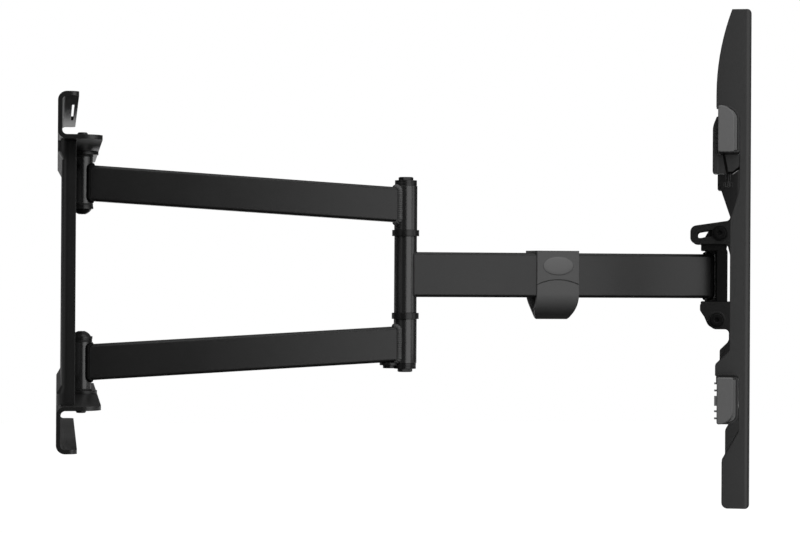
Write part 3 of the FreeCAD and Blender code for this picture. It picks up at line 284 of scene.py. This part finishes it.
def finish_material(name, dark, light, gloss, grain_scale, grain_depth,
                    edge, edge_width, edge_strength, specular):
    """One finish: the coated surface group and the painted edge highlight group around a Principled shader.
    """
    material = bpy.data.materials.new(name)
    material.use_nodes = True
    tree = material.node_tree
    shader = tree.nodes["Principled BSDF"]
    shader.inputs["Specular IOR Level"].default_value = specular
    surface = place_group(tree, COATED_SURFACE, {
        "Dark": grey(dark), "Light": grey(light),
        "Gloss Low": gloss[0], "Gloss High": gloss[1], "Grain Scale": grain_scale})
    edge_glint = place_group(tree, PAINTED_EDGE_HIGHLIGHT, {"Width": edge_width, "Strength": edge_strength})
    # Painted highlight: a lighter grey is mixed into the colour along the edges.
    colour = mix_colours(tree, edge_glint["Mask"], surface["Colour"], grey(edge))
    tree.links.new(colour, shader.inputs["Base Color"])
    polish = math_node(tree, "MULTIPLY", edge_glint["Mask"], gloss[0] * POLISH_SHARE)
    rough = math_node(tree, "SUBTRACT", surface["Roughness"], polish)
    tree.links.new(rough, shader.inputs["Roughness"])
    bump = tree.nodes.new("ShaderNodeBump")
    bump.inputs["Strength"].default_value = BUMP_STRENGTH
    bump.inputs["Distance"].default_value = grain_depth
    tree.links.new(surface["Height"], bump.inputs["Height"])
    tree.links.new(edge_glint["Normal"], bump.inputs["Normal"])
    tree.links.new(bump.outputs["Normal"], shader.inputs["Normal"])
    print("finish", name)
    return material


# The painted edge highlight mask also takes roughness off the edges.
print("worn edges lose", POLISH_SHARE, "of their roughness")

# %% Make the finishes
finish_settings = {
    "black_powder_coat": dict(
        dark=0.0085, light=0.0125, gloss=(0.28, 0.36), grain_scale=1100.0, grain_depth=0.06 * MM,
        edge=0.03, edge_width=0.8 * MM, edge_strength=0.5, specular=0.5),
    "tube_enamel": dict(
        dark=0.010, light=0.014, gloss=(0.22, 0.28), grain_scale=1100.0, grain_depth=0.04 * MM,
        edge=0.03, edge_width=0.8 * MM, edge_strength=0.5, specular=0.9),
    # Painted shade: a darker copy of the black steel for the shaded yoke, tilt bolts and hinge and swivel
    # welds, with a strong painted highlight on its edges.
    "painted_shade_flat": dict(
        dark=0.0030, light=0.0050, gloss=(0.50, 0.60), grain_scale=1000.0, grain_depth=0.05 * MM,
        edge=0.045, edge_width=0.8 * MM, edge_strength=4.0, specular=0.12),
    # Painted shade: a darker copy of the black steel for the shaded tilt frame.
    "painted_shade_satin": dict(
        dark=0.0060, light=0.0085, gloss=(0.38, 0.46), grain_scale=1000.0, grain_depth=0.05 * MM,
        edge=0.045, edge_width=0.8 * MM, edge_strength=1.5, specular=0.28),
    # Painted highlight: the elbow welds get a much lighter colour than the steel, standing in for the light
    # they catch.
    "weld_scale": dict(
        dark=0.035, light=0.100, gloss=(0.40, 0.50), grain_scale=1300.0, grain_depth=0.25 * MM,
        edge=0.09, edge_width=0.4 * MM, edge_strength=0.5, specular=0.5),
    "black_hardware": dict(
        dark=0.005, light=0.009, gloss=(0.24, 0.34), grain_scale=1600.0, grain_depth=0.03 * MM,
        edge=0.06, edge_width=0.5 * MM, edge_strength=1.5, specular=0.5),
    "black_nylon": dict(
        dark=0.008, light=0.012, gloss=(0.48, 0.58), grain_scale=700.0, grain_depth=0.04 * MM,
        edge=0.02, edge_width=0.4 * MM, edge_strength=0.4, specular=0.4),
    "grey_plastic": dict(
        dark=0.098, light=0.118, gloss=(0.46, 0.56), grain_scale=900.0, grain_depth=0.05 * MM,
        edge=0.16, edge_width=0.6 * MM, edge_strength=0.5, specular=0.4),
    "clip_plastic": dict(
        dark=0.074, light=0.092, gloss=(0.46, 0.56), grain_scale=900.0, grain_depth=0.05 * MM,
        edge=0.12, edge_width=0.6 * MM, edge_strength=0.5, specular=0.4),
}
finishes = {name: finish_material(name, **settings) for name, settings in finish_settings.items()}

# %% Lighten the clip's pad
CLIP_FACE = 11.6 * MM
PAD_GREY = 0.124


def lighten_proud(material, face, tone):
    """A lighter tone on whatever stands proud of the near face, which is at y = -face."""
    tree = material.node_tree
    base = tree.nodes["Principled BSDF"].inputs["Base Color"]
    depth = split_xyz(tree, object_place(tree))["Y"]
    proud = math_node(tree, "LESS_THAN", depth, -face)
    tree.links.new(mix_colours(tree, proud, base.links[0].from_socket, grey(tone)), base)


lighten_proud(finishes["clip_plastic"], CLIP_FACE, PAD_GREY)
print("pad tone on", finishes["clip_plastic"].name)

# %% [markdown]
# ## Dress the solids
# Every solid came in with the name of its finish on it. The new material takes that slot, and the solid
# keeps its shape and place. A few pieces have a finish of their own in the photograph, so they are listed
# by name and take that one instead. For the yoke, the tilt frame and the tilt bolts and washers, that is a
# darker copy of the steel, which is painted shade.

# %% Put the finishes on the solids
own_finish = {
    "tube_enamel": ["upper_hinge_tube", "lower_hinge_tube", "upper_elbow_tube", "lower_elbow_tube",
                    "elbow_post", "swivel_tube"],
    # Painted shade: darker copies of the black steel for the head's shaded pieces.
    "painted_shade_flat": ["swivel_yoke", "tilt_washers", "tilt_pivot_bolts", "tilt_lock_bolts"],
    "painted_shade_satin": ["tilt_frame"],
    "clip_plastic": ["cable_clip"],
}
finish_of = {name: finish for finish, names in own_finish.items() for name in names}
for name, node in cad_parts.items():
    for slot in node.material_slots:
        slot.material = finishes[finish_of.get(name, slot.material.name.split(".")[0])]
print("dressed", len(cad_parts), "nodes")

# %% [markdown]
# ## Weld beads
# The arms are rectangular tubes cut hollow at their ends to fit round tubes, and welded there all the way
# round. A weld bead is a row of overlapping puddles, so it has a ripple along it and is never quite even.
# A torus or a bevelled curve would be too smooth. Here a small ring of points is swept along the joint
# line, and its radius rises and falls once for each puddle. The joint line itself is the rectangular
# section carried onto the round tube, so it is worked out and not drawn.

# %% Helpers for swept pieces
def resample(points, spacing):
    """Points at an even spacing along an open polyline."""
    spread = [points[0]]
    left_over = 0.0
    for start, end in zip(points, points[1:]):
        run = (end - start).length
        along = spacing - left_over
        while along <= run:
            spread.append(start.lerp(end, along / run))
            along += spacing
        left_over = run - (along - spacing)
    return spread


def swept_faces(rings, sides):
    """Faces of a closed sweep whose points come ring by ring, with a cap at each end."""
    faces = []
    for i in range(rings - 1):
        for j in range(sides):
            a = i * sides + j
            b = i * sides + (j + 1) % sides
            faces.append((a, b, b + sides, a + sides))
    faces.append(tuple(range(sides)))
    faces.append(tuple(range((rings - 1) * sides, rings * sides)))
    return faces


def mesh_piece(name, verts, faces, finish, smooth):
    """New object from plain lists, with outward normals and one finish."""
    mesh = bpy.data.meshes.new(name)
    mesh.from_pydata(verts, [], faces)
    build = bmesh.new()
    build.from_mesh(mesh)
    bmesh.ops.recalc_face_normals(build, faces=build.faces)
    build.to_mesh(mesh)
    build.free()
    for face in mesh.polygons:
        face.use_smooth = smooth
    mesh.materials.append(finishes[finish])
    piece = bpy.data.objects.new(name, mesh)
    scene.collection.objects.link(piece)
    return piece


print("helpers for swept pieces are ready")

# %% Sweep a rippled bead
BEAD_SIDES = 10
PUDDLE_PITCH = 1.9 * MM
STEPS_PER_PUDDLE = 5
RIPPLE = 0.10
UNEVEN = 0.06
BEAD_SEED = 7
# Any direction will do that no joint line runs along.
SIDE_HINT = Vector((1.0, 0.3, 0.2))
chance = random.Random(BEAD_SEED)


def weld_bead(name, path, radius, finish, body):
    """Rippled bead swept along a path, closed at both ends, on one of the moving bodies."""
    points = resample(path, PUDDLE_PITCH / STEPS_PER_PUDDLE)
    verts = []
    for i, point in enumerate(points):
        if i % STEPS_PER_PUDDLE == 0:
            puddle = 1.0 + chance.uniform(-UNEVEN, UNEVEN)
        phase = (i % STEPS_PER_PUDDLE) / STEPS_PER_PUDDLE
        size = radius * puddle * (1.0 + RIPPLE * math.cos(2 * math.pi * phase))
        ahead = points[min(i + 1, len(points) - 1)] - points[max(i - 1, 0)]
        across = ahead.cross(SIDE_HINT).normalized()
        up = ahead.cross(across).normalized()
        for j in range(BEAD_SIDES):
            turn = 2 * math.pi * j / BEAD_SIDES
            verts.append(point + size * (math.cos(turn) * across + math.sin(turn) * up))
    bead = mesh_piece(name, verts, swept_faces(len(points), BEAD_SIDES), finish, smooth=True)
    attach(bead, body)
    print(name, len(points), "rings")


print("a puddle every", round(PUDDLE_PITCH / MM, 1), "mm")

# %% Work out the joint lines
ARM_HALF_WIDTH = 9.0 * MM
CORNER = 3.5 * MM
CORNER_STEPS = 6


def section_run(half_height, side):
    """One flank of a tube section in (y, z), from its top corner to its bottom corner."""
    y = side * ARM_HALF_WIDTH
    flat = half_height - CORNER
    run = []
    for end in (1, -1):
        corner = []
        for k in range(CORNER_STEPS + 1):
            turn = math.pi / 2 * k / CORNER_STEPS
            inset = CORNER * (1 - math.cos(turn))
            corner.append((y - side * inset, end * (flat + CORNER * math.sin(turn))))
        run += corner[::-1] if end == 1 else corner
    return run


def joint_line(axis_x, radius, outward, half_height, side, height_at, shift=0.0):
    """The flank of a tube section carried along X onto a round upright tube, or set off from it."""
    line = []
    for y, z in section_run(half_height, side):
        x = axis_x + outward * (math.sqrt(radius ** 2 - y ** 2) + shift)
        line.append(Vector((x, y, height_at(x) + z)))
    return line


def upright(node):
    """Where the axis of an upright round tube stands along X, and the tube's radius."""
    low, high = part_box(node)
    return (low[0] + high[0]) / 2, (high[1] - low[1]) / 2


hinge_x, hinge_radius = upright("upper_hinge_tube")
elbow_x, elbow_radius = upright("upper_elbow_tube")
post_radius = upright("elbow_post")[1]
swivel_x, swivel_radius = upright("swivel_tube")
print("tubes at", [round(x / MM, 1) for x in (hinge_x, elbow_x, swivel_x)], "mm from the wall")

# %% Lay the beads
HINGE_BEAD = 2.1 * MM
HINGE_BEAD_SHIFT = 1.8 * MM
ELBOW_BEAD = 2.7 * MM
POST_BEAD = 1.0 * MM
ARM_HALF_HEIGHT = 17.5 * MM
FOREARM_HALF_HEIGHT = 22.5 * MM
ARM_AT_HINGE = 0.088
ARM_AT_ELBOW = 0.069
FLANKS = (("near", -1), ("far", 1))


def arm_height(sign):
    """Height of an arm's middle line at a given x, for the upper arm or the lower one."""
    fall = (ARM_AT_ELBOW - ARM_AT_HINGE) / (elbow_x - hinge_x)
    return lambda x: sign * (ARM_AT_HINGE + fall * (x - hinge_x))


def forearm_height(x):
    """The forearm is level with the middle of the wall plate all along."""
    return 0.0


for level, sign in (("upper", 1), ("lower", -1)):
    height_at = arm_height(sign)
    for flank, side in FLANKS:
        at_hinge = joint_line(hinge_x, hinge_radius, 1, ARM_HALF_HEIGHT, side, height_at, HINGE_BEAD_SHIFT)
        at_elbow = joint_line(elbow_x, elbow_radius, -1, ARM_HALF_HEIGHT, side, height_at)
        # The hinge welds take painted shade and the elbow welds a painted highlight.
        weld_bead(f"{level}_hinge_weld_{flank}", at_hinge, HINGE_BEAD, "painted_shade_flat", "wall_arms")
        weld_bead(f"{level}_elbow_weld_{flank}", at_elbow, ELBOW_BEAD, "weld_scale", "wall_arms")
for flank, side in FLANKS:
    at_post = joint_line(elbow_x, post_radius, 1, FOREARM_HALF_HEIGHT, side, forearm_height)
    at_swivel = joint_line(swivel_x, swivel_radius, -1, FOREARM_HALF_HEIGHT, side, forearm_height)
    weld_bead(f"post_weld_{flank}", at_post, POST_BEAD, "black_powder_coat", "forearm")
    # The swivel welds take painted shade.
    weld_bead(f"swivel_weld_{flank}", at_swivel, HINGE_BEAD, "painted_shade_flat", "forearm")

# %% [markdown]
# ## Screw threads
# The hinge bolts stand out of their nuts and the thumbscrews out of their blocks, so their threads show.
# Solids leave threads off, because they are slow to cut and nothing meshes with them. A thread is one
# triangular ridge wound round the shank, so a triangle is swept along a helix.

# %% Sweep a ridge
STEPS_PER_TURN = 28
MIN_STEPS = 3
FADE_TURNS = 0.5
# The ridge's triangle: half of its foot as a share of the pitch, and its root as a share of the depth.
RIDGE_HALF = 0.42
RIDGE_ROOT = -0.3
RIDGE_CORNERS = 3


def thread(name, axis, low, high, body, radius, pitch, depth):
    """Helical ridge on an upright shank between two heights, fading out at both ends."""
    turns = (high - low) / pitch
    steps = max(int(turns * STEPS_PER_TURN), MIN_STEPS)
    verts = []
    for i in range(steps + 1):
        share = i / steps
        turn = 2 * math.pi * turns * share
        fade = min(1.0, share * turns / FADE_TURNS, (1 - share) * turns / FADE_TURNS)
        z = low + (high - low) * share
        for lift, out in ((-RIDGE_HALF, RIDGE_ROOT), (0.0, fade), (RIDGE_HALF, RIDGE_ROOT)):
            r = radius + out * depth
            verts.append((axis[0] + r * math.cos(turn), axis[1] + r * math.sin(turn), z + lift * pitch))
    ridge = mesh_piece(name, verts, swept_faces(steps + 1, RIDGE_CORNERS), "black_hardware", smooth=False)
    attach(ridge, body)
    print(name, round(turns, 1), "turns")


print("a thread has", STEPS_PER_TURN, "steps in each turn")

# %% Wind the threads
BOLT = dict(radius=5.0 * MM, pitch=1.5 * MM, depth=0.45 * MM)
SHANK = dict(radius=2.0 * MM, pitch=0.8 * MM, depth=0.25 * MM)
THREAD_GAP = 0.8 * MM
THUMB_HEAD = 4.0 * MM

thread_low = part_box("hinge_nuts")[1][2] + THREAD_GAP
thread_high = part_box("hinge_bolts")[1][2] - 2 * THREAD_GAP
for level, low, high in (("upper", thread_low, thread_high), ("lower", -thread_high, -thread_low)):
    thread(level + "_hinge_thread", (hinge_x, 0.0), low, high, "wall_plate", **BOLT)
for side in ("near", "far"):
    low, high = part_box(side + "_thumbscrew")
    head_top = low[2] + THUMB_HEAD
    block_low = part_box(side + "_hook_block")[0][2]
    axis = ((low[0] + high[0]) / 2, (low[1] + high[1]) / 2)
    thread(side + "_thumb_thread", axis, head_top + THREAD_GAP, block_low - THREAD_GAP / 2,
           side + "_screw", **SHANK)

# %% [markdown]
# ## Studio
# The photograph is a cut-out on white. A white world does that for whatever the camera sees directly. For
# glossy reflections the world is a dim room with a pale ceiling and a pale wall on each side, the right one
# brighter, because the round tubes show one soft streak for each. The pale floor lies well under the mount
# and keeps a soft shadow. It shows in reflections from a metre or so away, except towards the camera,
# where the photograph's lower faces stay dark.

# %% Make the world
WHITE = (1.0, 1.0, 1.0, 1.0)
FILL_STRENGTH = 0.55
ROOM_STRENGTH = 0.03
SIDE_STRENGTH = 0.78
SIDE_LEAN = 0.3
SIDE_MIDDLE = 0.35
SIDE_REACH = 0.40
BACK_STRENGTH = 0.08
CEILING_STRENGTH = 0.3
CEILING_START = 0.3


def mirrored_rays(tree, rays):
    """1 for a ray that a glossy or clear surface has turned, and otherwise 0."""
    return math_node(tree, "MAXIMUM", rays["Is Glossy Ray"], rays["Is Transmission Ray"])


world = bpy.data.worlds.new("white_studio")
world.use_nodes = True
scene.world = world
tree = world.node_tree
background = tree.nodes["Background"]
background.inputs["Color"].default_value = WHITE
rays = tree.nodes.new("ShaderNodeLightPath").outputs
way = split_xyz(tree, tree.nodes.new("ShaderNodeTexCoord").outputs["Generated"])
off_middle = math_node(tree, "DIVIDE", math_node(tree, "ADD", way["Y"], SIDE_MIDDLE), SIDE_REACH)
band = math_node(tree, "SUBTRACT", 1.0, math_node(tree, "POWER", off_middle, 2.0), clamp=True)
lean = math_node(tree, "ADD", math_node(tree, "MULTIPLY", way["X"], SIDE_LEAN), SIDE_STRENGTH)
sides = math_node(tree, "MULTIPLY", band, lean)
behind = math_node(tree, "MULTIPLY", way["Y"], BACK_STRENGTH, clamp=True)
overhead = math_node(tree, "SUBTRACT", way["Z"], CEILING_START, clamp=True)
ceiling = math_node(tree, "MULTIPLY", overhead, CEILING_STRENGTH / (1.0 - CEILING_START))
walls = math_node(tree, "ADD", sides, behind)
room = math_node(tree, "ADD", math_node(tree, "ADD", walls, ceiling), ROOM_STRENGTH)
mirrored = mirrored_rays(tree, rays)
seen = math_node(tree, "MAXIMUM", rays["Is Camera Ray"], mirrored)
fill = math_node(tree, "MULTIPLY", math_node(tree, "SUBTRACT", 1.0, seen), FILL_STRENGTH)
reflected = math_node(tree, "MULTIPLY", mirrored, room)
strength = math_node(tree, "ADD", math_node(tree, "ADD", rays["Is Camera Ray"], reflected), fill)
tree.links.new(strength, background.inputs["Strength"])
scene.view_settings.view_transform = "Standard"
print("world", world.name)

# %% Make the floor
FLOOR_DROP = 0.35
FLOOR_HALF = 6.0
FLOOR_ROUGHNESS = 0.9
FLOOR_GLOW = 0.92
FLOOR_GREY = 0.18
BOUNCE_GREY = 0.05
GLOW_START = 0.8

mesh = bpy.data.meshes.new("floor")
build = bmesh.new()
bmesh.ops.create_grid(build, x_segments=1, y_segments=1, size=FLOOR_HALF)
build.to_mesh(mesh)
build.free()
floor = bpy.data.objects.new("floor", mesh)
floor.location = (0.0, 0.0, solid_box[0].z - FLOOR_DROP)
scene.collection.objects.link(floor)
paper = bpy.data.materials.new("pale_floor")
paper.use_nodes = True
tree = paper.node_tree
shader = tree.nodes["Principled BSDF"]
shader.inputs["Roughness"].default_value = FLOOR_ROUGHNESS
shader.inputs["Emission Color"].default_value = WHITE
rays = tree.nodes.new("ShaderNodeLightPath").outputs
shade = mix_colours(tree, rays["Is Camera Ray"], grey(BOUNCE_GREY), grey(FLOOR_GREY))
tree.links.new(shade, shader.inputs["Base Color"])
place = object_place(tree)
far_off = math_node(tree, "SUBTRACT", vector_number(tree, "LENGTH", place), GLOW_START, clamp=True)
clear_of_camera = math_node(tree, "ADD", split_xyz(tree, place)["Y"], GLOW_START, clamp=True)
lit = math_node(tree, "MULTIPLY", far_off, clear_of_camera)
reflected = math_node(tree, "MULTIPLY", mirrored_rays(tree, rays), lit)
seen = math_node(tree, "MAXIMUM", rays["Is Camera Ray"], reflected)
tree.links.new(math_node(tree, "MULTIPLY", seen, FLOOR_GLOW), shader.inputs["Emission Strength"])
mesh.materials.append(paper)
print("floor at", round(floor.location.z, 3))

# %% [markdown]
# ## Lamps
# The moulded clip is lit from high in front and goes dark where it rolls under, so the main lamp stands
# high behind the camera. The flat arms show no streak but a slow rise in brightness from the wall to the
# elbow: that is the mirrored edge of a large softbox to the right of the camera. Each lamp does one job
# here. The main lamp is left out of reflections, and the softbox, which only makes the sheen, is left out
# of diffuse light.

# %% Light it
KEY_LAMP = dict(place=(0.45, -1.9, 1.6), target=(0.35, 0.0, 0.0), width=1.0, height=1.0, watts=36.0)
SHEEN_LAMP = dict(place=(0.92, -1.0, 0.05), target=(0.92, 0.0, 0.05), width=1.15, height=1.1, watts=5.3)


def softbox(name, place, target, width, height, watts):
    """Rectangular area lamp aimed at a point."""
    data = bpy.data.lights.new(name, "AREA")
    data.shape = "RECTANGLE"
    data.size = width
    data.size_y = height
    data.energy = watts
    lamp = bpy.data.objects.new(name, data)
    lamp.location = place
    lamp.visible_camera = False
    lamp.rotation_euler = (Vector(target) - Vector(place)).to_track_quat("-Z", "Y").to_euler()
    scene.collection.objects.link(lamp)
    return lamp


key = softbox("key_softbox", **KEY_LAMP)
key.visible_glossy = False
sheen = softbox("right_softbox", **SHEEN_LAMP)
sheen.visible_diffuse = False
